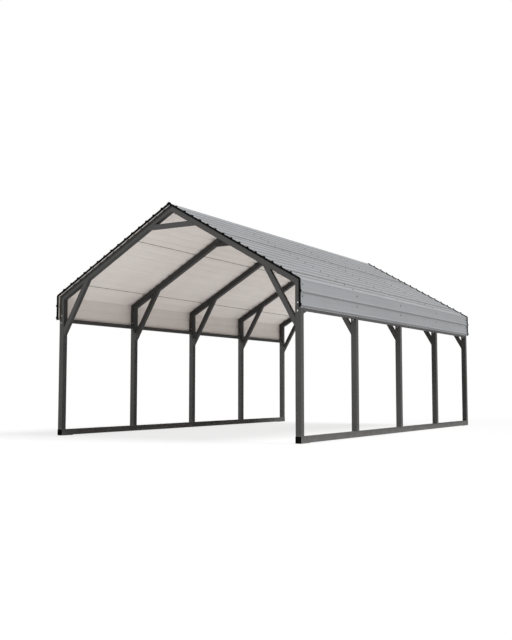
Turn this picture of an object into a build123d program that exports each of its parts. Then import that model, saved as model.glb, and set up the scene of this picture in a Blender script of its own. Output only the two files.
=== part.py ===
from build123d import *
from math import cos, hypot, radians, sin, tan
import os

# Single carport: five steel tube bents on two ground rails,
# under a gable roof of ribbed sheets that bend down into a fascia at each eave.
# Millimetres. X runs across, +Y to the back, +Z up; the origin is on the ground at the middle.
os.makedirs("parts", exist_ok=True)

# The whole frame
frame_width = 3620
frame_length = 6066
eave_height = 1839
roof_pitch = 30
bent_count = 5

# Square tubes, all with the same wall; posts and rafters have rounded corners
tube = 73
brace_tube = 57
purlin_tube = 50
tube_wall = 2
tube_corner = 3
eave_corner_cut = 7

# Places on a bent
joint_below_eave = 316
brace_foot_below_joint = 223
brace_lean = 30
tie_below_ridge = 143

# Ground rails
foot_thickness = 6
foot_length = 215
corner_piece_length = 113
cap_thickness = 4
cap_plug_depth = 25

# Sleeves inside the tube joints
sleeve_wall = 2
sleeve_fit = 0.3
post_sleeve_length = 240
rail_sleeve_length = 190

# Roof sheets and their ribs, measured along the slope
sheet = 0.6
sheet_fit = 0.2
gable_overhang = 45
fascia_depth = 318
fascia_over_purlin = 22
rib_height = 11
rib_base = 36
rib_top = 14
rib_pitch = 129
first_rib = 118
second_rib = 265
ribs_to_upper_lap = 4
lower_lap_to_eave = 277
last_rib_to_eave = 132
eave_to_fascia_rib = 130
last_rib_to_fascia_edge = 31
lap_above_rib = 26
lap_below_rib = 30
lap_step = 8
ridge_bead_foot = 30
ridge_bead_half_top = 12
ridge_bead_rise = 8
eave_bend = 12
bend_facets = 4

# Edging on the two gable ends of the roof
edging_depth = 15
edging_face = 3
edging_upper_lip = 15
edging_lower_lip = 4
edging_fit = 0.15

half_width = frame_width / 2
half_length = frame_length / 2
post_inner = half_width - tube
post_middle = half_width - tube / 2
post_joint_height = eave_height - joint_below_eave
bent_spacing = (frame_length - tube) / (bent_count - 1)
bent_fronts = [-half_length + number * bent_spacing for number in range(bent_count)]
slope_sin = sin(radians(roof_pitch))
slope_cos = cos(radians(roof_pitch))
slope_tan = tan(radians(roof_pitch))
apex_height = eave_height + half_width * slope_tan
slope_length = half_width / slope_cos
underside_apex = apex_height - tube / slope_cos
rail_top = foot_thickness + tube
rail_middle = foot_thickness + tube / 2


def save(node, shape):
    shape.label = node
    export_step(shape, f"parts/{node}.step")


def save_group(node, shapes):
    save(node, Compound(children=shapes))


def other_side(shape):
    return mirror(shape, about=Plane.YZ)


def both_sides(shapes):
    return [*shapes, *[other_side(shape) for shape in shapes]]


def four_corners(shape):
    return both_sides([shape, mirror(shape, about=Plane.XZ)])


def bar(points, size, corner=0):
    """A square bar whose middle follows the points, mitred where it turns."""
    path = Polyline(*points)
    outline = RectangleRounded(size, size, corner) if corner else Rectangle(size, size)
    section = Plane(origin=path @ 0, z_dir=path % 0) * outline
    return sweep(section, path=path, transition=Transition.RIGHT)


def hollow(points, size, wall=tube_wall, corner=0):
    return bar(points, size, corner) - bar(points, size - 2 * wall)


def below(shape, plane):
    """The part of a shape that lies behind a plane."""
    return split(shape, bisect_by=plane, keep=Keep.BOTTOM)


# Planes that trim the tubes of a bent on its right-hand side; each faces what is cut away
post_inner_face = Plane(origin=(post_inner, 0, 0), z_dir=(1, 0, 0))
rafter_underside = Plane(origin=(0, 0, underside_apex), z_dir=(slope_sin, 0, slope_cos))
middle_of_roof = Plane(origin=(0, 0, 0), z_dir=(-1, 0, 0))
corner_turn = radians(90 - roof_pitch)
eave_corner_plane = Plane(
    origin=(half_width, 0, eave_height - eave_corner_cut),
    z_dir=(cos(corner_turn / 2), 0, sin(corner_turn / 2)),
)


# Posts: plain square tube from the ground rail up to the joint under the eave
def post():
    low = (post_middle, 0, rail_top)
    high = (post_middle, 0, post_joint_height)
    return hollow([low, high], tube, corner=tube_corner)


# Rafters: one tube mitred at the eave, its short leg standing on the post
def rafter():
    middle_apex = (apex_height + underside_apex) / 2
    route = [
        (post_middle, 0, post_joint_height),
        (post_middle, 0, middle_apex - post_middle * slope_tan),
        (-tube, 0, middle_apex + tube * slope_tan),
    ]
    outside = below(bar(route, tube, tube_corner), eave_corner_plane)
    bore = below(bar(route, tube - 2 * tube_wall), eave_corner_plane.offset(-tube_wall))
    return below(outside - bore, middle_of_roof)


# Knee braces: lean in from the post to the rafter, ends cut to lie flat on both
def knee_brace():
    lean_sin = sin(radians(brace_lean))
    lean_cos = cos(radians(brace_lean))
    foot_height = post_joint_height - brace_foot_below_joint
    foot_middle = foot_height + brace_tube / 2 / lean_sin
    reach = (underside_apex - foot_middle - post_inner * slope_tan) / (lean_cos - lean_sin * slope_tan)
    low = (post_inner + 2 * brace_tube * lean_sin, 0, foot_middle - 2 * brace_tube * lean_cos)
    high_run = reach + 2 * brace_tube
    high = (post_inner - high_run * lean_sin, 0, foot_middle + high_run * lean_cos)
    return below(below(hollow([low, high], brace_tube), post_inner_face), rafter_underside)


# Collar ties: short level tubes under the ridge
def collar_tie():
    middle = underside_apex - tie_below_ridge - brace_tube / 2
    reach = (tie_below_ridge + 2 * brace_tube) / slope_tan
    tie = hollow([(-reach, 0, middle), (reach, 0, middle)], brace_tube)
    return below(other_side(below(tie, rafter_underside)), rafter_underside)


# A bent's heavy tubes are centred on it; the lighter ones lie flush with its front face
for number, y_front in enumerate(bent_fronts, start=1):
    centred = Location((0, y_front + tube / 2, 0))
    flush = Location((0, y_front + brace_tube / 2, 0))
    right_post = post().moved(centred)
    right_rafter = rafter().moved(centred)
    save(f"right_post_{number}", right_post)
    save(f"left_post_{number}", other_side(right_post))
    save(f"right_rafter_{number}", right_rafter)
    save(f"left_rafter_{number}", other_side(right_rafter))
    save_group(f"knee_braces_{number}", both_sides([knee_brace().moved(flush)]))
    save(f"collar_tie_{number}", collar_tie().moved(flush))


# Ground rails: tube lengths that meet at mid-bay, with a corner piece at each end
def rail_tube(y_low, y_high):
    near = (post_middle, y_low, rail_middle)
    far = (post_middle, y_high, rail_middle)
    return hollow([near, far], tube)


bay_middles = [y + tube / 2 + bent_spacing / 2 for y in bent_fronts[:-1]]
rail_end = half_length - corner_piece_length
rail_joints = [-rail_end, *bay_middles, rail_end]
rail_lengths = [rail_tube(y_low, y_high) for y_low, y_high in zip(rail_joints[:-1], rail_joints[1:])]
save_group("right_base_rail", rail_lengths)
save_group("left_base_rail", [other_side(length) for length in rail_lengths])
save_group("rail_corner_pieces", four_corners(rail_tube(rail_end, half_length)))

foot_place = Location((post_middle, half_length - foot_length / 2, foot_thickness / 2))
foot_plate = Box(tube, foot_length, foot_thickness).moved(foot_place)
save_group("foot_plates", four_corners(foot_plate))


def end_cap():
    """A square plate over the end of the rail, with a plug that fits inside the tube."""
    rail_face = (post_middle, half_length, rail_middle)
    plate_face = (post_middle, half_length + cap_thickness, rail_middle)
    plug_end = (post_middle, half_length - cap_plug_depth, rail_middle)
    plug_size = tube - 2 * (tube_wall + sleeve_fit)
    return bar([rail_face, plate_face], tube) + bar([plug_end, rail_face], plug_size)


save_group("rail_end_caps", four_corners(end_cap()))


# Sleeves inside the post joints and the rail joints
sleeve_size = tube - 2 * (tube_wall + sleeve_fit)
post_sleeves = []
for y_front in bent_fronts:
    y_middle = y_front + tube / 2
    low = (post_middle, y_middle, post_joint_height - post_sleeve_length / 2)
    high = (post_middle, y_middle, post_joint_height + post_sleeve_length / 2)
    post_sleeves.append(hollow([low, high], sleeve_size, sleeve_wall))
save_group("post_sleeves", both_sides(post_sleeves))

rail_sleeves = []
for y_middle in bay_middles:
    near = (post_middle, y_middle - rail_sleeve_length / 2, rail_middle)
    far = (post_middle, y_middle + rail_sleeve_length / 2, rail_middle)
    rail_sleeves.append(hollow([near, far], sleeve_size, sleeve_wall))
save_group("rail_sleeves", both_sides(rail_sleeves))


# Eave purlins: lighter tubes between the posts, flush with their outer faces,
# each backing the lower edge of the fascia
purlins = []
purlin_x = half_width - purlin_tube / 2
purlin_z = eave_height - fascia_depth + fascia_over_purlin - purlin_tube / 2
for y_front in bent_fronts[:-1]:
    near = (purlin_x, y_front + tube, purlin_z)
    far = (purlin_x, y_front + bent_spacing, purlin_z)
    purlins.append(hollow([near, far], purlin_tube))
save_group("right_eave_purlin", purlins)
save_group("left_eave_purlin", [other_side(purlin) for purlin in purlins])


# Roof sheets: every sheet is a path in X and Z, given its thickness and run the length of the roof.
# On the slope a point is a distance down from the ridge and a lift above the rafters.
def on_slope(distance, lift=0):
    x = distance * slope_cos + lift * slope_sin
    z = apex_height - distance * slope_sin + lift * slope_cos
    return (x, z)


def on_fascia(drop, lift=0):
    return (half_width + lift, eave_height - drop)


def mirrored(path):
    return [(-x, z) for x, z in path[::-1]]


def rib(place, centre, lift=0):
    """Four corners of a rib; a lifted rib is wider, so that it lies over the one below."""
    run = (rib_base - rib_top) / 2
    spread = lift * (hypot(run, rib_height) - run) / rib_height
    foot = rib_base / 2 + spread
    crest = rib_top / 2 + spread
    return [
        place(centre - foot, lift),
        place(centre - crest, lift + rib_height),
        place(centre + crest, lift + rib_height),
        place(centre + foot, lift),
    ]


def ribs(place, centres):
    return [corner for centre in centres for corner in rib(place, centre)]


def eave_corner(lift=0):
    """The bend from slope to fascia, in short facets."""
    bend = eave_bend + lift
    middle_x = half_width - eave_bend
    middle_z = eave_height - eave_bend * tan(corner_turn / 2)
    corner = []
    for facet in range(bend_facets + 1):
        angle = corner_turn * (1 - facet / bend_facets)
        corner.append((middle_x + bend * cos(angle), middle_z + bend * sin(angle)))
    return corner


def shifted(path, amount):
    """The same open path moved sideways by amount, its corners kept sharp."""
    normals = []
    for (x0, z0), (x1, z1) in zip(path[:-1], path[1:]):
        length = hypot(x1 - x0, z1 - z0)
        normals.append((-(z1 - z0) / length, (x1 - x0) / length))
    moved = []
    for place, (x, z) in enumerate(path):
        before = normals[max(place - 1, 0)]
        after = normals[min(place, len(normals) - 1)]
        share = 1 + before[0] * after[0] + before[1] * after[1]
        across = ((before[0] + after[0]) / share, (before[1] + after[1]) / share)
        moved.append((x + amount * across[0], z + amount * across[1]))
    return moved


def between(lower, upper, y_low, y_high):
    """The area between two paths, made solid from y_low to y_high."""
    outline = lower + upper[::-1]
    face = make_face(Polyline(*[(x, y_low, z) for x, z in outline], close=True))
    return extrude(face, y_high - y_low, dir=(0, 1, 0))


def run_along(path, inner, outer, y_low, y_high):
    return between(shifted(path, inner), shifted(path, outer), y_low, y_high)


lower_lap_rib = slope_length - lower_lap_to_eave
rib_steps = round((lower_lap_rib - second_rib) / rib_pitch)
rib_step = (lower_lap_rib - second_rib) / rib_steps
rib_places = [second_rib + step * rib_step for step in range(rib_steps)]
upper_lap_rib = rib_places[ribs_to_upper_lap]
ridge_ribs = [first_rib, *rib_places[:ribs_to_upper_lap]]
middle_ribs = rib_places[ribs_to_upper_lap:]
eave_ribs = [lower_lap_rib, slope_length - last_rib_to_eave]
fascia_ribs = [eave_to_fascia_rib, fascia_depth - last_rib_to_fascia_edge]


def lap(rib_place):
    """Lower edge of an upper sheet: a small step up, then over the top rib of the sheet below."""
    lap_lift = sheet + sheet_fit
    step_end = rib_place - lap_above_rib - sheet_fit
    path = [on_slope(step_end - lap_step), on_slope(step_end, lap_lift)]
    path += rib(on_slope, rib_place, lap_lift)
    path.append(on_slope(rib_place + lap_below_rib, lap_lift))
    return path


ridge_bead = [(ridge_bead_half_top, apex_height + ridge_bead_rise), on_slope(ridge_bead_foot)]
ridge_half = ridge_bead + ribs(on_slope, ridge_ribs) + lap(upper_lap_rib)
middle_path = [on_slope(upper_lap_rib - lap_above_rib)] + ribs(on_slope, middle_ribs) + lap(lower_lap_rib)
eave_end = ribs(on_slope, eave_ribs) + eave_corner() + ribs(on_fascia, fascia_ribs)
eave_end.append(on_fascia(fascia_depth))
eave_path = [on_slope(lower_lap_rib - lap_above_rib)] + eave_end

roof_front = -half_length - gable_overhang
roof_back = half_length + gable_overhang


def roof_sheet(path):
    return run_along(path, 0, sheet, roof_front + edging_face, roof_back - edging_face)


middle_sheet = roof_sheet(middle_path)
eave_sheet = roof_sheet(eave_path)
save("ridge_sheet", roof_sheet(mirrored(ridge_half) + ridge_half))
save("right_middle_sheet", middle_sheet)
save("left_middle_sheet", other_side(middle_sheet))
save("right_eave_sheet", eave_sheet)
save("left_eave_sheet", other_side(eave_sheet))


# Gable edgings: a channel that grips the ends of the sheets. Its upper edge rises over
# every rib; its lower edge runs straight on, so that it closes the hollow under each one.
def rib_outline(place, centre, lift):
    """A rib of the upper edge, raised as it is instead of widened."""
    feet = ((-rib_base, 0), (-rib_top, rib_height), (rib_top, rib_height), (rib_base, 0))
    return [place(centre + width / 2, lift + height) for width, height in feet]


def gable_edging(y_face, inward):
    sheet_half = ridge_bead + ribs(on_slope, ridge_ribs + middle_ribs) + eave_end
    slot_top = 2 * sheet + sheet_fit + edging_fit
    lift = slot_top + edging_upper_lip
    upper = [(ridge_bead_half_top, apex_height + ridge_bead_rise + lift), on_slope(ridge_bead_foot, lift)]
    for centre in ridge_ribs + middle_ribs + eave_ribs:
        upper += rib_outline(on_slope, centre, lift)
    upper += eave_corner(lift)
    for centre in fascia_ribs:
        upper += rib_outline(on_fascia, centre, lift)
    upper.append(on_fascia(fascia_depth, lift))
    lower = [*eave_corner(-edging_lower_lip), on_fascia(fascia_depth, -edging_lower_lip)]
    ridge = (0, apex_height - edging_lower_lip / slope_cos)

    y_low, y_high = sorted((y_face, y_face + inward * edging_depth))
    body = between(mirrored(lower) + [ridge] + lower, mirrored(upper) + upper, y_low, y_high)
    y_low, y_high = sorted((y_face + inward * edging_face, y_face + inward * edging_depth))
    slot = run_along(mirrored(sheet_half) + sheet_half, -edging_fit, slot_top, y_low, y_high)
    return body - slot


save("front_gable_edging", gable_edging(roof_front, 1))
save("back_gable_edging", gable_edging(roof_back, -1))
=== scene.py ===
# Single carport: five charcoal steel tube bents on two ground rails, under a ribbed grey sheet roof.
# Metres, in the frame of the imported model: X runs across, +Y to the back, +Z up.
import math

import bmesh
import bpy
from mathutils import Matrix, Vector


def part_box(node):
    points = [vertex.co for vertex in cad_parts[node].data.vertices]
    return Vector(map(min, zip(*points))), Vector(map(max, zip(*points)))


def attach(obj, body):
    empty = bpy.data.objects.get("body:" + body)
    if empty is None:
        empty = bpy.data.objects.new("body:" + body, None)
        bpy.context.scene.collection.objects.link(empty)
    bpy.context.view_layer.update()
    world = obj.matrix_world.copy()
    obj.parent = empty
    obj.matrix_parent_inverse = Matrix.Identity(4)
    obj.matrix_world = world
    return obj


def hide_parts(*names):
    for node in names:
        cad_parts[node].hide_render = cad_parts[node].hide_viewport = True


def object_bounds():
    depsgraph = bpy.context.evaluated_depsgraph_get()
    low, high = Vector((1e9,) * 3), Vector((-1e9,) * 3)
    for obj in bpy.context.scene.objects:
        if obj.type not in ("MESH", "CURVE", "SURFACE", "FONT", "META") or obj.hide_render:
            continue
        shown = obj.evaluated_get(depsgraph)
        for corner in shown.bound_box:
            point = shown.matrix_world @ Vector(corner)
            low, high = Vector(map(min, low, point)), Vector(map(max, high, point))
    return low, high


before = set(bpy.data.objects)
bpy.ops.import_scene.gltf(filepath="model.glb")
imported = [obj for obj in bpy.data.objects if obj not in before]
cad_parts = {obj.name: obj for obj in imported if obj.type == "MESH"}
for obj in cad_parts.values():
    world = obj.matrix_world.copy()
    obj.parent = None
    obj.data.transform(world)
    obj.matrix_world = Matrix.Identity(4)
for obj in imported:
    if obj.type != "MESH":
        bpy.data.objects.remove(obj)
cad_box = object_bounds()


# Foot plates
# Four flat bars under the ends of the ground rails, cut from hot-dip galvanised steel.
# They are laid loose on the slab and welded to the rail above; their sawn edges are broken.
plate_edge = 0.0012
crisp_angle = math.radians(40)
flat_angle = 0.01
same_place = 0.00001


def node_shape(node):
    """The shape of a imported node, its loose triangles joined into clean flat faces."""
    shape = bmesh.new()
    shape.from_mesh(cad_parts[node].data)
    bmesh.ops.remove_doubles(shape, verts=shape.verts, dist=same_place)
    bmesh.ops.dissolve_limit(shape, angle_limit=flat_angle, verts=shape.verts, edges=shape.edges)
    return shape


def crisp_edges(shape):
    return [edge for edge in shape.edges if edge.is_manifold and edge.calc_face_angle() > crisp_angle]


def round_off(shape, edges, width, segments=2):
    bmesh.ops.bevel(
        shape, geom=edges, offset=width, offset_type="OFFSET", segments=segments,
        profile=0.5, affect="EDGES", material=-1, clamp_overlap=True,
    )


def make_piece(name, shape, *finishes):
    """An object of the carport from a finished shape, its flat faces kept flat beside the rounded edges."""
    mesh = bpy.data.meshes.new(name)
    shape.to_mesh(mesh)
    shape.free()
    for finish in finishes:
        mesh.materials.append(finish)
    mesh.shade_smooth()
    mesh.set_sharp_from_angle(angle=crisp_angle)
    piece = bpy.data.objects.new(name, mesh)
    bpy.context.scene.collection.objects.link(piece)
    flats = piece.modifiers.new("flats_stay_flat", "WEIGHTED_NORMAL")
    flats.keep_sharp = True
    return piece


def new_finish(name):
    """A material on nodes, with its node tree and the shader that it starts with."""
    finish = bpy.data.materials.new(name)
    finish.use_nodes = True
    tree = finish.node_tree
    return finish, tree, tree.nodes["Principled BSDF"]


def add_node(tree, kind, values=None, **settings):
    """A node of a kind, with its settings and the values of its named or numbered inputs."""
    node = tree.nodes.new(kind)
    for setting, value in settings.items():
        setattr(node, setting, value)
    for socket, value in (values or {}).items():
        node.inputs[socket].default_value = value
    return node


def new_effect(name, inputs, outputs):
    """An empty node group for an effect that several finishes share, with its two ends."""
    tree = bpy.data.node_groups.new(name, "ShaderNodeTree")
    for socket, value in inputs.items():
        made = tree.interface.new_socket(name=socket, in_out="INPUT", socket_type="NodeSocketFloat")
        made.default_value = value
    for socket in outputs:
        tree.interface.new_socket(name=socket, in_out="OUTPUT", socket_type="NodeSocketFloat")
    return tree, tree.nodes.new("NodeGroupInput"), tree.nodes.new("NodeGroupOutput")


def use_effect(tree, effect, **values):
    node = tree.nodes.new("ShaderNodeGroup")
    node.node_tree = effect
    for socket, value in values.items():
        node.inputs[socket].default_value = value
    return node


def object_noise(tree, scale, detail=3.0, roughness=0.55, stretch=(1, 1, 1)):
    """Noise on Object coordinates, finer along an axis where stretch is more than one."""
    place = add_node(tree, "ShaderNodeTexCoord")
    mapping = add_node(tree, "ShaderNodeMapping", {"Scale": stretch})
    noise = add_node(tree, "ShaderNodeTexNoise", {"Scale": scale, "Detail": detail, "Roughness": roughness})
    tree.links.new(place.outputs["Object"], mapping.inputs["Vector"])
    tree.links.new(mapping.outputs["Vector"], noise.inputs["Vector"])
    return noise


def ramp(tree, source, low, high, low_value=0.0, high_value=1.0):
    """Turns a value between low and high into one between two others, smoothly and held at the ends."""
    node = add_node(tree, "ShaderNodeMapRange", interpolation_type="SMOOTHSTEP")
    for socket, value in zip(range(1, 5), (low, high, low_value, high_value)):
        node.inputs[socket].default_value = value
    tree.links.new(source, node.inputs[0])
    return node.outputs[0]


def maths(tree, operation, first, second):
    node = add_node(tree, "ShaderNodeMath", operation=operation)
    for socket, value in enumerate((first, second)):
        if isinstance(value, float):
            node.inputs[socket].default_value = value
        else:
            tree.links.new(value, node.inputs[socket])
    return node.outputs[0]


def blend_colours(tree, mask, first, second):
    """A colour between two others; each is a colour or the output of an earlier blend."""
    node = add_node(tree, "ShaderNodeMix", data_type="RGBA")
    for socket, colour in (("A", first), ("B", second)):
        target = next(s for s in node.inputs if s.name == socket and s.type == "RGBA")
        if isinstance(colour, tuple):
            target.default_value = (*colour, 1)
        else:
            tree.links.new(colour, target)
    tree.links.new(mask, node.inputs["Factor"])
    return next(s for s in node.outputs if s.type == "RGBA")


def raise_surface(tree, shader, height, distance, strength=1.0):
    """Feeds a height in metres to the shader's normal."""
    bump = add_node(tree, "ShaderNodeBump", {"Strength": strength, "Distance": distance})
    tree.links.new(height, bump.inputs["Height"])
    tree.links.new(bump.outputs["Normal"], shader.inputs["Normal"])


# Dust that settles low down, broken into patches
dust, dust_in, dust_out = new_effect("settled_dust", {"Reach": 0.5, "Amount": 0.5}, ["Mask"])
dust_place = add_node(dust, "ShaderNodeTexCoord")
dust_split = add_node(dust, "ShaderNodeSeparateXYZ")
dust.links.new(dust_place.outputs["Object"], dust_split.inputs[0])
dust_low = maths(dust, "DIVIDE", dust_split.outputs["Z"], dust_in.outputs["Reach"])
dust_fall = ramp(dust, dust_low, 0.0, 1.0, 1.0, 0.0)
dust_noise = object_noise(dust, 14.0, 6.0, 0.65)
dust_patches = ramp(dust, dust_noise.outputs["Fac"], 0.35, 0.75, 0.5, 1.0)
dust_mask = maths(dust, "MULTIPLY", dust_fall, dust_patches)
dust.links.new(maths(dust, "MULTIPLY", dust_mask, dust_in.outputs["Amount"]), dust_out.inputs["Mask"])

# Hairline scratches from handling, in one direction
scratches, scratches_in, scratches_out = new_effect("hairline_scratches", {"Amount": 0.5}, ["Mask"])
scratch_lines = object_noise(scratches, 60.0, 2.0, 0.5, (1, 0.06, 6)).outputs["Fac"]
scratch_places = object_noise(scratches, 9.0, 2.0, 0.5).outputs["Fac"]
scratch_lines = ramp(scratches, scratch_lines, 0.66, 0.72)
scratch_places = ramp(scratches, scratch_places, 0.45, 0.7)
scratch_mask = maths(scratches, "MULTIPLY", scratch_lines, scratch_places)
scratch_mask = maths(scratches, "MULTIPLY", scratch_mask, scratches_in.outputs["Amount"])
scratches.links.new(scratch_mask, scratches_out.inputs["Mask"])

galvanised, tree, shader = new_finish("galvanised_plate")
spangle_place = add_node(tree, "ShaderNodeTexCoord")
spangle = add_node(tree, "ShaderNodeTexVoronoi", {"Scale": 90.0, "Randomness": 1.0})
tree.links.new(spangle_place.outputs["Object"], spangle.inputs["Vector"])
spangle_grey = add_node(tree, "ShaderNodeRGBToBW")
tree.links.new(spangle.outputs["Color"], spangle_grey.inputs[0])
crystal = ramp(tree, spangle_grey.outputs[0], 0.2, 0.8)
plate_dust = use_effect(tree, dust, Reach=0.06, Amount=0.7)
plate_scratches = use_effect(tree, scratches, Amount=0.6)
zinc_colour = blend_colours(tree, crystal, (0.30, 0.31, 0.32), (0.46, 0.47, 0.48))
zinc_colour = blend_colours(tree, plate_scratches.outputs["Mask"], zinc_colour, (0.62, 0.63, 0.64))
zinc_colour = blend_colours(tree, plate_dust.outputs["Mask"], zinc_colour, (0.36, 0.33, 0.29))
tree.links.new(zinc_colour, shader.inputs["Base Color"])
tree.links.new(ramp(tree, crystal, 0.0, 1.0, 0.38, 0.6), shader.inputs["Roughness"])
raise_surface(tree, shader, crystal, 0.00005, 0.6)
shader.inputs["Metallic"].default_value = 0.75

shape = node_shape("foot_plates")
round_off(shape, crisp_edges(shape), plate_edge)
foot_plates = make_piece("foot_plate_bars", shape, galvanised)
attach(foot_plates, "root")
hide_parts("foot_plates")


# Ground rails
# Square steel tube in five lengths a side, with a short corner piece at each end, all powder coated
# in charcoal. The lengths butt over an inner sleeve, and their sawn ends are eased, so each joint shows.
tube_corner = 0.003
tube_width = 0.073
sawn_ease = 0.0025

charcoal, tree, shader = new_finish("charcoal_powder_coat")
peel = object_noise(tree, 420.0, 2.0, 0.5)
cloud = object_noise(tree, 2.3, 4.0, 0.6)
frame_dust = use_effect(tree, dust, Reach=0.14, Amount=0.6)
frame_scratches = use_effect(tree, scratches, Amount=0.35)
cloud_share = ramp(tree, cloud.outputs["Fac"], 0.3, 0.7)
coat_colour = blend_colours(tree, cloud_share, (0.058, 0.0568, 0.0557), (0.0635, 0.0623, 0.0613))
coat_colour = blend_colours(tree, frame_scratches.outputs["Mask"], coat_colour, (0.12, 0.117, 0.114))
coat_colour = blend_colours(tree, frame_dust.outputs["Mask"], coat_colour, (0.17, 0.167, 0.161))
tree.links.new(coat_colour, shader.inputs["Base Color"])
cloud_rough = ramp(tree, cloud.outputs["Fac"], 0.3, 0.7, 0.42, 0.5)
coat_rough = maths(tree, "ADD", cloud_rough, frame_dust.outputs["Mask"])
tree.links.new(coat_rough, shader.inputs["Roughness"])
raise_surface(tree, shader, peel.outputs["Fac"], 0.00008, 0.3)
shader.inputs["Specular IOR Level"].default_value = 0.1


def long_corner_edges(shape, size):
    """The outer corners of square tubes: crisp edges far longer than the tube is wide, on its outside."""
    long_edges = [edge for edge in crisp_edges(shape) if edge.calc_length() > 1.4 * size]
    outer = []
    for edge in long_edges:
        middle = (edge.verts[0].co + edge.verts[1].co) / 2
        near, far = edge.link_faces
        if near.normal.dot(far.calc_center_median() - middle) < 0:
            outer.append(edge)
    return outer


def outer_end_edges(shape):
    """The outer rim of each sawn tube end."""
    rim = []
    for edge in crisp_edges(shape):
        ends = [face for face in edge.link_faces if abs(face.normal.y) > 0.99]
        if len(ends) == 1 and edge.calc_length() > 0.8 * (tube_width - 2 * tube_corner):
            beside = next(face for face in edge.link_faces if face is not ends[0])
            middle = (edge.verts[0].co + edge.verts[1].co) / 2
            if beside.normal.dot(ends[0].calc_center_median() - middle) < 0:
                rim.append(edge)
    return rim


for node in ("left_base_rail", "right_base_rail", "rail_corner_pieces"):
    shape = node_shape(node)
    round_off(shape, outer_end_edges(shape), sawn_ease, 1)
    round_off(shape, long_corner_edges(shape, tube_width), tube_corner, 3)
    rail = make_piece(node + "_tubes", shape, charcoal)
    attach(rail, "root")
    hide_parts(node)


# Rail joint screws
# Four self-drilling screws go down through each butt joint of the rails into the sleeve, two a side.
# Zinc plated, each a small hexagon head on its own round flange.
rail_screw_gap = 0.05
flange_across = 0.0135
flange_thick = 0.0012
flange_rounding = 0.00054
head_across_flats = 0.008
screw_head = 0.0046
head_chamfer = 0.0006
bent_count = 5
bents = range(1, bent_count + 1)
sides = ("left", "right")


def facing(axis):
    """Turns the Z axis of a shape to look along another."""
    return axis.to_track_quat("Z", "Y").to_matrix().to_4x4()


def add_disc(shape, base, across, thick, rounding, sides=16, narrowing=0.0):
    """A round plate lying on a height, its upper edge rounded."""
    made = bmesh.ops.create_cone(
        shape, cap_ends=True, segments=sides, radius1=across / 2, radius2=across / 2 - narrowing,
        depth=thick, matrix=Matrix.Translation((0, 0, base + thick / 2)),
    )
    round_rim(shape, made["verts"], base + thick, rounding)


def add_hexagon(shape, base, across_flats, thick, chamfer):
    """A hexagon head standing on a height, its upper edge broken."""
    radius = across_flats / math.sqrt(3)
    made = bmesh.ops.create_cone(
        shape, cap_ends=True, segments=6, radius1=radius, radius2=radius, depth=thick,
        matrix=Matrix.Translation((0, 0, base + thick / 2)),
    )
    round_rim(shape, made["verts"], base + thick, chamfer)


def round_rim(shape, verts, height, rounding):
    top = {vert for vert in verts if abs(vert.co.z - height) < same_place}
    rim = [edge for edge in shape.edges if edge.verts[0] in top and edge.verts[1] in top]
    round_off(shape, rim, rounding)


def repeated(single, places):
    """A small shape copied to each of a row of places, each a matrix, as one shape."""
    pattern = bpy.data.meshes.new("pattern")
    single.to_mesh(pattern)
    single.free()
    joined = bmesh.new()
    for place in places:
        count = len(joined.verts)
        joined.from_mesh(pattern)
        joined.verts.ensure_lookup_table()
        bmesh.ops.transform(joined, matrix=place, verts=joined.verts[count:])
    bpy.data.meshes.remove(pattern)
    return joined


def middle_of(node):
    low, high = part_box(node)
    return (Vector(low) + Vector(high)) / 2


zinc, tree, shader = new_finish("bright_zinc_plate")
zinc_cloud = object_noise(tree, 160.0, 3.0, 0.6)
zinc_share = ramp(tree, zinc_cloud.outputs["Fac"], 0.3, 0.7)
zinc_colour = blend_colours(tree, zinc_share, (0.30, 0.30, 0.295), (0.42, 0.42, 0.41))
tree.links.new(zinc_colour, shader.inputs["Base Color"])
tree.links.new(ramp(tree, zinc_share, 0.0, 1.0, 0.46, 0.3), shader.inputs["Roughness"])
shader.inputs["Metallic"].default_value = 0.85

bent_places = [middle_of(f"left_post_{bent}").y for bent in bents]
rail_joints = [(first + second) / 2 for first, second in zip(bent_places, bent_places[1:])]
rail_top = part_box("left_base_rail")[1][2]
rail_line = abs(middle_of("left_base_rail").x)

screw = bmesh.new()
add_disc(screw, 0.0, flange_across, flange_thick, flange_rounding)
add_hexagon(screw, flange_thick, head_across_flats, screw_head, head_chamfer)
shape = repeated(screw, [
    Matrix.Translation((side * rail_line, joint + step * rail_screw_gap, rail_top))
    for side in (-1, 1) for joint in rail_joints for step in (-1.5, -0.5, 0.5, 1.5)
])
rail_screws = make_piece("rail_joint_screws", shape, zinc)
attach(rail_screws, "root")


# Rail end caps
# Black moulded plugs pressed into the four open ends of the ground rails. Each has a square face
# with generous corners, a shallow recess where the mould is cored, and a ribbed stub inside the tube.
cap_edge = 0.00055
cap_recess = 0.0012
cap_rim = 0.009
cap_reach = 0.05

moulded, tree, shader = new_finish("black_moulded_plastic")
mould_grain = object_noise(tree, 900.0, 3.0, 0.6)
mould_cloud = object_noise(tree, 40.0, 3.0, 0.5)
cap_dust = use_effect(tree, dust, Reach=0.14, Amount=0.02)
mould_share = ramp(tree, mould_cloud.outputs["Fac"], 0.3, 0.7)
cap_colour = blend_colours(tree, mould_share, (0.0015, 0.0015, 0.0017), (0.003, 0.003, 0.0033))
cap_colour = blend_colours(tree, cap_dust.outputs["Mask"], cap_colour, (0.06, 0.056, 0.052))
tree.links.new(cap_colour, shader.inputs["Base Color"])
tree.links.new(ramp(tree, mould_grain.outputs["Fac"], 0.3, 0.7, 0.5, 0.62), shader.inputs["Roughness"])
raise_surface(tree, shader, mould_grain.outputs["Fac"], 0.00006, 0.7)
shader.inputs["Specular IOR Level"].default_value = 0.02

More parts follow.
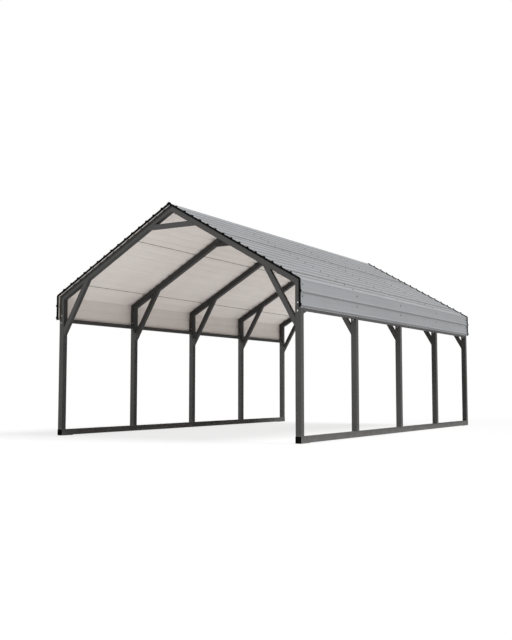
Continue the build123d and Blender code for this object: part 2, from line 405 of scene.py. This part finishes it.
shape = node_shape("rail_end_caps")
cap_faces = [
    face for face in shape.faces
    if abs(face.normal.y) > 0.9 and face.calc_area() > 0.75 * tube_width ** 2
    and abs(face.calc_center_median().y) > cad_box[1].y - cap_reach
]
bmesh.ops.inset_individual(shape, faces=cap_faces, thickness=cap_rim, depth=0)
for face in cap_faces:
    bmesh.ops.translate(shape, verts=face.verts, vec=-face.normal * cap_recess)
round_off(shape, crisp_edges(shape), cap_edge)
end_caps = make_piece("rail_end_plugs", shape, moulded)
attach(end_caps, "root")
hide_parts("rail_end_caps")


# Posts and rafters
# Ten posts and ten mitred rafters, the same charcoal tube with rolled corners as the rails.
# A rafter's short leg stands on its post, over an inner sleeve that two through bolts hold.
sawn_edge = 0.0007
shortest_eased = 0.05
for side in sides:
    for bent in bents:
        for member in ("post", "rafter"):
            node = f"{side}_{member}_{bent}"
            shape = node_shape(node)
            long_edges = [edge for edge in crisp_edges(shape) if edge.calc_length() > shortest_eased]
            round_off(shape, long_edges, sawn_edge)
            tube = make_piece(node + "_tube", shape, charcoal)
            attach(tube, "root")
            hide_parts(node)


# Post joint bolts
# One bolt above and one below each post joint, right through tube and sleeve, zinc plated.
# Head and washer are on the front face; washer, nut and the threaded end are on the back.
bolt_above_joint = 0.055
bolt_below_joint = 0.039
washer_across = 0.021
washer_thick = 0.0016
washer_sides = 24
washer_rounding = 0.0004
bolt_flats = 0.017
bolt_head = 0.0064
bolt_chamfer = 0.001
nut_height = 0.0084
thread_across = 0.0098
thread_pitch = 0.0015
thread_depth = 0.0004
thread_turns = 3

head_side = bmesh.new()
add_disc(head_side, 0.0, washer_across, washer_thick, washer_rounding, washer_sides)
add_hexagon(head_side, washer_thick, bolt_flats, bolt_head, bolt_chamfer)
nut_side = bmesh.new()
add_disc(nut_side, 0.0, washer_across, washer_thick, washer_rounding, washer_sides)
add_hexagon(nut_side, washer_thick, bolt_flats, nut_height, bolt_chamfer)
for turn in range(thread_turns):
    thread_base = washer_thick + nut_height + turn * thread_pitch
    add_disc(nut_side, thread_base, thread_across, thread_pitch, thread_depth, narrowing=thread_depth)

head_places, nut_places = [], []
for side in sides:
    for bent in bents:
        low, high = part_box(f"{side}_post_{bent}")
        for lift in (bolt_above_joint, -bolt_below_joint):
            across, height = (low[0] + high[0]) / 2, high[2] + lift
            head_places.append(Matrix.Translation((across, low[1], height)) @ facing(Vector((0, -1, 0))))
            nut_places.append(Matrix.Translation((across, high[1], height)) @ facing(Vector((0, 1, 0))))
for name, single, places in (("heads", head_side, head_places), ("nuts", nut_side, nut_places)):
    bolt_ends = make_piece("post_bolt_" + name, repeated(single, places), zinc)
    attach(bolt_ends, "root")


# Knee braces, collar ties and eave purlins
# Lighter square tube in the same charcoal coat: a brace in each corner of a bent, a short tie
# under its ridge, and a purlin from post to post behind the lower edge of the fascia.
brace_tube = 0.057
purlin_tube = 0.05
for node in [f"knee_braces_{bent}" for bent in bents] + [f"collar_tie_{bent}" for bent in bents]:
    shape = node_shape(node)
    round_off(shape, long_corner_edges(shape, brace_tube), tube_corner, 3)
    light_tube = make_piece(node + "_tube", shape, charcoal)
    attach(light_tube, "root")
    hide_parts(node)

for side in sides:
    node = f"{side}_eave_purlin"
    shape = node_shape(node)
    round_off(shape, long_corner_edges(shape, purlin_tube), tube_corner, 3)
    purlin = make_piece(node + "_tube", shape, charcoal)
    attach(purlin, "root")
    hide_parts(node)


# Weld beads
# Braces, ties, purlins and post feet are welded all round, then coated with the frame. Each bead
# is a row of small ripples, 5 mm across, laid along the line where a cut tube end meets its neighbour.
bead_radius = 0.0026
bead_sides = 6
bead_end_size = 0.55
bead_drift = 0.12
drift_waves = 90
drift_start = 1.7
ripple_length = 0.0036
ripple_height = 0.22
rings_a_ripple = 3


def end_loops(node, directions):
    """The four outer corners of each cut tube end of a node that faces one of some directions."""
    shape = node_shape(node)
    bmesh.ops.triangulate(shape, faces=shape.faces)
    loops = []
    for direction in directions:
        toward = Vector(direction).normalized()
        ends = {}
        for face in shape.faces:
            if face.normal.dot(toward) > 0.999 and face.calc_area() > 0.000001:
                for vert in face.verts:
                    ends.setdefault(cluster(vert.co, toward), []).append(vert.co.copy())
        across = Vector((0, 1, 0)) if abs(toward.y) < 0.5 else Vector((1, 0, 0))
        up = toward.cross(across).normalized()
        for points in ends.values():
            corners = []
            for a, b in ((-1, -1), (1, -1), (1, 1), (-1, 1)):
                corners.append(max(points, key=lambda point: a * point.dot(across) + b * point.dot(up)))
            loops.append(corners)
    shape.free()
    return loops


def cluster(point, toward):
    """Tells one cut end from another: its plane, and roughly where it lies in it."""
    return round(point.dot(toward) / 0.01), round(point.y / 0.2) if abs(toward.y) < 0.5 else 0, point.x > 0


def join_rings(shape, earlier, this):
    """Skins the run from one ring of points to the next, or closes the end before the first."""
    if earlier is None:
        shape.faces.new(list(reversed(this)))
        return
    for corner in range(len(this)):
        after = (corner + 1) % len(this)
        shape.faces.new((earlier[corner], earlier[after], this[after], this[corner]))


def add_bead(shape, start, end, phase):
    """A rippled round bead from one point to another."""
    run = end - start
    length, along = run.length, run.normalized()
    turn = facing(along).to_3x3()
    count = max(4, round(length / ripple_length * rings_a_ripple))
    earlier = None
    for ring in range(count + 1):
        share = ring / count
        swell = (ring % rings_a_ripple) / rings_a_ripple
        drift = math.sin(phase + share * length * drift_waves) * bead_drift
        taper = min(1.0, 4 * share + bead_end_size, 4 * (1 - share) + bead_end_size)
        radius = bead_radius * taper * (1 + drift + ripple_height * (swell - 0.5))
        middle = start + along * (length * share)
        this = []
        for corner in range(bead_sides):
            angle = math.tau * corner / bead_sides
            offset = turn @ Vector((math.cos(angle), math.sin(angle), 0))
            this.append(shape.verts.new(middle + offset * radius))
        join_rings(shape, earlier, this)
        earlier = this
    shape.faces.new(earlier)


rafter_slope = math.radians(30)
under_rafter = [(side * math.sin(rafter_slope), 0, math.cos(rafter_slope)) for side in (-1, 1)]
brace_ends = [(-1, 0, 0), (1, 0, 0), *under_rafter]
weld_groups = {
    "brace_welds": [loop for bent in bents for loop in end_loops(f"knee_braces_{bent}", brace_ends)],
    "tie_welds": [loop for bent in bents for loop in end_loops(f"collar_tie_{bent}", under_rafter)],
    "purlin_welds": [
        loop for side in sides for loop in end_loops(f"{side}_eave_purlin", [(0, -1, 0), (0, 1, 0)])
    ],
    "post_foot_welds": [
        loop for side in sides for bent in bents for loop in end_loops(f"{side}_post_{bent}", [(0, 0, -1)])
    ],
}
for name, loops in weld_groups.items():
    shape = bmesh.new()
    for number, corners in enumerate(loops):
        for step in range(4):
            add_bead(shape, corners[step], corners[(step + 1) % 4], number * drift_start + step)
    bmesh.ops.recalc_face_normals(shape, faces=shape.faces)
    beads = make_piece(name, shape, charcoal)
    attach(beads, "root")


# Inner sleeves
# Short lengths of plain tube inside the post joints and the rail joints, mill finish under a wipe of oil.
# They are only seen through an open joint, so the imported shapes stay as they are.
sleeve_steel, tree, shader = new_finish("oiled_mill_steel")
mill_cloud = object_noise(tree, 18.0, 4.0, 0.6)
mill_share = ramp(tree, mill_cloud.outputs["Fac"], 0.3, 0.7)
mill_colour = blend_colours(tree, mill_share, (0.12, 0.115, 0.11), (0.20, 0.195, 0.19))
tree.links.new(mill_colour, shader.inputs["Base Color"])
tree.links.new(ramp(tree, mill_cloud.outputs["Fac"], 0.3, 0.7, 0.35, 0.55), shader.inputs["Roughness"])
shader.inputs["Metallic"].default_value = 0.8
for node in ("post_sleeves", "rail_sleeves"):
    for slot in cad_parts[node].material_slots:
        slot.material = sleeve_steel


# Roof sheets
# Five roll-formed steel sheets, painted light grey outside and off-white inside, run the length of
# the roof. The top one bends over the ridge, the two lowest bend down into the fascias.
outside_lean = Vector((2, 0, 1)).normalized()
fascia_top = 1.83
bead_reach = 0.05
rib_side_lean = (0.3, 0.95)

rolled, rolled_in, rolled_out = new_effect("rolled_lines", {"Amount": 1.0}, ["Value"])
roll_lines = object_noise(rolled, 30.0, 3.0, 0.6, (1.6, 0.015, 1.6)).outputs["Fac"]
roll_patches = object_noise(rolled, 1.4, 3.0, 0.5).outputs["Fac"]
roll_sum = maths(
    rolled, "ADD", maths(rolled, "MULTIPLY", roll_lines, 0.6), maths(rolled, "MULTIPLY", roll_patches, 0.4)
)
rolled.links.new(
    maths(rolled, "MULTIPLY", maths(rolled, "SUBTRACT", roll_sum, 0.5), rolled_in.outputs["Amount"]),
    rolled_out.inputs["Value"],
)


def roof_coat(name, low, high, washed):
    """The outer paint: fine lines from the rolls, streaks left by rain, a slight waviness of the sheet."""
    finish, tree, shader = new_finish(name)
    coat_lines = use_effect(tree, rolled, Amount=1.0)
    wash = object_noise(tree, 7.0, 4.0, 0.6, (0.25, 4.0, 0.25))
    waves = object_noise(tree, 1.0, 1.0, 0.4, (2.2, 0.9, 2.2))
    grey = blend_colours(tree, ramp(tree, coat_lines.outputs["Value"], -0.12, 0.12), low, high)
    grey = blend_colours(tree, ramp(tree, wash.outputs["Fac"], 0.52, 0.8, 0.0, 0.2), grey, washed)
    tree.links.new(grey, shader.inputs["Base Color"])
    tree.links.new(ramp(tree, wash.outputs["Fac"], 0.35, 0.75, 0.42, 0.54), shader.inputs["Roughness"])
    raise_surface(tree, shader, waves.outputs["Fac"], 0.0035, 0.25)
    return finish


def slope_axes(side):
    """Out of the roof and down the slope, for the right side or, with -1, the left."""
    outward = Vector((side * math.sin(rafter_slope), 0, math.cos(rafter_slope)))
    down = Vector((side * math.cos(rafter_slope), 0, -math.sin(rafter_slope)))
    return outward, down


# The sides of the ribs get a darker coat: painted shade, for the light that falls less on them than on the
# pans
grey_coat = roof_coat(
    "light_grey_roof_coat", (0.207, 0.212, 0.222), (0.224, 0.230, 0.240), (0.187, 0.190, 0.195)
)
rib_side_painted_shade_coat = roof_coat(
    "rib_side_painted_shade", (0.135, 0.138, 0.144), (0.156, 0.159, 0.166), (0.122, 0.123, 0.125)
)

white_coat, tree, shader = new_finish("off_white_backing_coat")
backing_lines = use_effect(tree, rolled, Amount=1.0)
backing_cloud = object_noise(tree, 3.0, 4.0, 0.55)
backing_share = ramp(tree, backing_lines.outputs["Value"], -0.15, 0.15)
backing_marks = ramp(tree, backing_cloud.outputs["Fac"], 0.5, 0.8, 0.0, 0.3)
white = blend_colours(tree, backing_share, (0.77, 0.71, 0.668), (0.82, 0.766, 0.724))
white = blend_colours(tree, backing_marks, white, (0.72, 0.655, 0.605))
tree.links.new(white, shader.inputs["Base Color"])
tree.links.new(ramp(tree, backing_cloud.outputs["Fac"], 0.3, 0.7, 0.45, 0.58), shader.inputs["Roughness"])

roof_sheets = ["ridge_sheet"] + [f"{side}_{place}_sheet" for place in ("middle", "eave") for side in sides]
for node in roof_sheets:
    shape = node_shape(node)
    for face in shape.faces:
        middle = face.calc_center_median()
        side_sign = 1 if middle.x > 0 else -1
        lean = face.normal.dot(slope_axes(side_sign)[0])
        if middle.z < fascia_top:
            lean = face.normal.x * side_sign if face.normal.z < 0 else 1.0
        on_rib_side = abs(face.normal.y) < 0.1 and rib_side_lean[0] < lean < rib_side_lean[1]
        inside = face.normal.dot(outside_lean * Vector((side_sign, 1, 1))) < 0
        # Faces on the sides of the ribs take the darker coat, slot 2, which is painted shade.
        face.material_index = 1 if inside else 2 if on_rib_side and abs(middle.x) > bead_reach else 0
    sheet = make_piece(node + "_painted", shape, grey_coat, white_coat, rib_side_painted_shade_coat)
    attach(sheet, "root")
    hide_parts(node)


# Lap sealant and shade
# A dark bead runs along each of the four laps between the sheets, on both edges: inside in the step of the
# upper sheet, outside along that sheet's lower edge. The beads stand for squeezed-out sealant and for the
# shade in each lap's gap and under its step: partly painted shade.
first_rib = 0.118
second_rib = 0.265
rib_pitch = 0.129
pitched_ribs = 13
last_rib = 1.958
rib_lines = [first_rib] + [second_rib + rib_pitch * number for number in range(pitched_ribs)] + [last_rib]
lap_ribs = (5, 13)
lap_above_rib = 0.028
lap_below_rib = 0.031
sheet_thick = 0.0006
inner_bead = (0.0042, 0.0014)
outer_bead = (0.0045, 0.0036)
bead_step = 0.03
lap_bead_corners = 6

rafter_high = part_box("right_rafter_1")[1]
ridge = Vector((0, 0, rafter_high[2]))
eave_line = rafter_high[0]

lap_bead_finish, tree, shader = new_finish("dark_lap_sealant_and_shade")
lap_bead_cloud = object_noise(tree, 22.0, 4.0, 0.6)
lap_bead_skin = object_noise(tree, 380.0, 2.0, 0.5)
lap_bead_share = ramp(tree, lap_bead_cloud.outputs["Fac"], 0.3, 0.7)
# The dark colour of the lap beads stands partly for the shade in the lap: painted shade.
lap_bead_colour = blend_colours(tree, lap_bead_share, (0.045, 0.036, 0.030), (0.075, 0.062, 0.052))
tree.links.new(lap_bead_colour, shader.inputs["Base Color"])
tree.links.new(ramp(tree, lap_bead_skin.outputs["Fac"], 0.3, 0.7, 0.5, 0.7), shader.inputs["Roughness"])
raise_surface(tree, shader, lap_bead_skin.outputs["Fac"], 0.0002, 0.5)
shader.inputs["Specular IOR Level"].default_value = 0.25


def add_lap_bead(shape, foot, across, rise, start, end, size, phase):
    """A half-round dark bead along Y, a little uneven like sealant squeezed out by hand; it is partly
    painted shade of the lap.
    """
    half_width, height = size
    count = round((end - start) / bead_step)
    earlier = None
    for ring in range(count + 1):
        place = start + (end - start) * ring / count
        wander = 1 + 0.13 * math.sin(phase + 31 * place) + 0.08 * math.sin(2 * phase + 83 * place)
        this = []
        for corner in range(lap_bead_corners):
            angle = math.pi * corner / (lap_bead_corners - 1)
            offset = across * (math.cos(angle) * half_width) + rise * (math.sin(angle) * height)
            this.append(shape.verts.new(foot + offset * wander + Vector((0, place, 0))))
        join_rings(shape, earlier, this)
        earlier = this
    shape.faces.new(earlier)


sheet_front, sheet_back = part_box("ridge_sheet")[0][1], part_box("ridge_sheet")[1][1]
shape = bmesh.new()
for side in (-1, 1):
    outward, down = slope_axes(side)
    for number, lap_rib in enumerate(lap_ribs):
        inside = ridge + down * (rib_lines[lap_rib] - lap_above_rib)
        outside = ridge + down * (rib_lines[lap_rib] + lap_below_rib) + outward * sheet_thick
        add_lap_bead(shape, inside, down, -outward, sheet_front, sheet_back, inner_bead, number + side)
        add_lap_bead(shape, outside, down, outward, sheet_front, sheet_back, outer_bead, number + 3 * side)
bmesh.ops.recalc_face_normals(shape, faces=shape.faces)
lap_sealant_and_shade = make_piece("lap_sealant_and_shade", shape, lap_bead_finish)
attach(lap_sealant_and_shade, "root")


# Roof screws
# One self-drilling screw in the middle of every pan over every bent, and two in each fascia:
# a charcoal hexagon head and flange that press a black rubber washer on the sheet.
seal_across = 0.016
seal_thick = 0.0022
seal_rounding = 0.0007
seal_narrowing = 0.001
roof_screw_sides = 12
fascia_screw_heights = (1.786, 1.651)

slope_length = eave_line / math.cos(rafter_slope)
pan_lines = [(first + second) / 2 for first, second in zip(rib_lines, rib_lines[1:] + [slope_length])]

rubber, tree, shader = new_finish("black_extruded_rubber")
rubber_grain = object_noise(tree, 650.0, 3.0, 0.6)
rubber_cloud = object_noise(tree, 6.0, 3.0, 0.5)
rubber_share = ramp(tree, rubber_cloud.outputs["Fac"], 0.3, 0.7)
rubber_colour = blend_colours(tree, rubber_share, (0.002, 0.002, 0.002), (0.004, 0.004, 0.004))
tree.links.new(rubber_colour, shader.inputs["Base Color"])
tree.links.new(ramp(tree, rubber_grain.outputs["Fac"], 0.3, 0.7, 0.6, 0.75), shader.inputs["Roughness"])
raise_surface(tree, shader, rubber_grain.outputs["Fac"], 0.00008, 0.6)
shader.inputs["Specular IOR Level"].default_value = 0.03

screw = bmesh.new()
add_disc(screw, 0.0, seal_across, seal_thick, seal_rounding, roof_screw_sides, seal_narrowing)
for face in screw.faces:
    face.material_index = 1
add_disc(screw, seal_thick, flange_across, flange_thick, flange_rounding, roof_screw_sides)
add_hexagon(screw, seal_thick + flange_thick, head_across_flats, screw_head, head_chamfer)

places = []
for side in (-1, 1):
    outward, down = slope_axes(side)
    for bent_place in bent_places:
        for pan in pan_lines:
            foot = ridge + Vector((0, bent_place, 0)) + down * pan + outward * sheet_thick
            places.append(Matrix.Translation(foot) @ facing(outward))
        for height in fascia_screw_heights:
            foot = Vector((side * (eave_line + sheet_thick), bent_place, height))
            places.append(Matrix.Translation(foot) @ facing(Vector((side, 0, 0))))
roof_screws = make_piece("roof_screws", repeated(screw, places), charcoal, rubber)
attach(roof_screws, "root")


# Gable edgings
# Black rubber channel pushed over the sheet ends at both gables; it follows every rib.
# It is extruded soft and has a fine matt skin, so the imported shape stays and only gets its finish.
for node in ("front_gable_edging", "back_gable_edging"):
    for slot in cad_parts[node].material_slots:
        slot.material = rubber


# Floor
# A plain pale studio floor. It reads as white to the camera and keeps the soft shadow of the carport.
floor_reach = 60.0
floor_glow = 0.65
floor_white = 1.15
floor_finish, tree, shader = new_finish("pale_studio_floor")
floor_cloud = object_noise(tree, 0.8, 3.0, 0.5)
floor_colour = blend_colours(tree, floor_cloud.outputs["Fac"], (0.39, 0.39, 0.39), (0.41, 0.41, 0.41))
tree.links.new(floor_colour, shader.inputs["Base Color"])
shader.inputs["Roughness"].default_value = 0.9
shader.inputs["Specular IOR Level"].default_value = 0.0
floor_light = add_node(tree, "ShaderNodeEmission", {"Color": (1, 1, 1, 1), "Strength": floor_white})
floor_rays = add_node(tree, "ShaderNodeLightPath")
floor_mix = add_node(tree, "ShaderNodeMixShader")
floor_share = maths(tree, "MULTIPLY", floor_rays.outputs["Is Camera Ray"], floor_glow)
tree.links.new(floor_share, floor_mix.inputs["Fac"])
tree.links.new(shader.outputs["BSDF"], floor_mix.inputs[1])
tree.links.new(floor_light.outputs[0], floor_mix.inputs[2])
tree.links.new(floor_mix.outputs[0], tree.nodes["Material Output"].inputs["Surface"])

shape = bmesh.new()
bmesh.ops.create_grid(shape, x_segments=8, y_segments=8, size=floor_reach)
floor = make_piece("studio_floor", shape, floor_finish)
floor.visible_shadow = False


# Light
# A pale surround, a soft low key from the front left, a softer high one and a weak low fill from
# the right, and a broad glow from below, as a bright slab gives, that lights the roof's underside.
surround_strength = 0.37
front_key = 1.85
right_key = 4.8
right_fill = 0.32
slab_light = 1.12

world = bpy.data.worlds.new("studio_surround")
bpy.context.scene.world = world
world.use_nodes = True
tree = world.node_tree
surround = tree.nodes["Background"]
surround.inputs["Color"].default_value = (1, 1, 1, 1)
world_rays = add_node(tree, "ShaderNodeLightPath")
seen = ramp(tree, world_rays.outputs["Is Camera Ray"], 0.0, 1.0, surround_strength, 1.0)
tree.links.new(seen, surround.inputs["Strength"])

for name, strength, softness, toward in (
    ("front_key", front_key, 20, (-0.57, -1.0, 0.51)),
    ("right_key", right_key, 30, (1.0, 0.25, 1.5)),
    ("right_fill", right_fill, 20, (1.0, 0.1, -0.25)),
    ("slab_bounce", slab_light, 60, (0.25, 0.3, -0.85)),
):
    sun = bpy.data.lights.new(name, "SUN")
    sun.energy = strength
    sun.angle = math.radians(softness)
    key = bpy.data.objects.new(name, sun)
    key.rotation_euler = Vector(toward).to_track_quat("Z", "Y").to_euler()
    bpy.context.scene.collection.objects.link(key)


# Camera
# The viewpoint: low, in front of the carport and to the right of it, looking slightly up.
camera_lens = 49.657
camera_place = (6.4087, -11.7641, 0.6006)
camera_tilt = 94.513
camera_turn = 30.692

camera_data = bpy.data.cameras.new("camera")
camera_data.lens = camera_lens
camera = bpy.data.objects.new("camera", camera_data)
camera.location = camera_place
camera.rotation_euler = (math.radians(camera_tilt), 0, math.radians(camera_turn))
bpy.context.scene.collection.objects.link(camera)
bpy.context.scene.camera = camera
bpy.context.scene.view_settings.view_transform = "Standard"
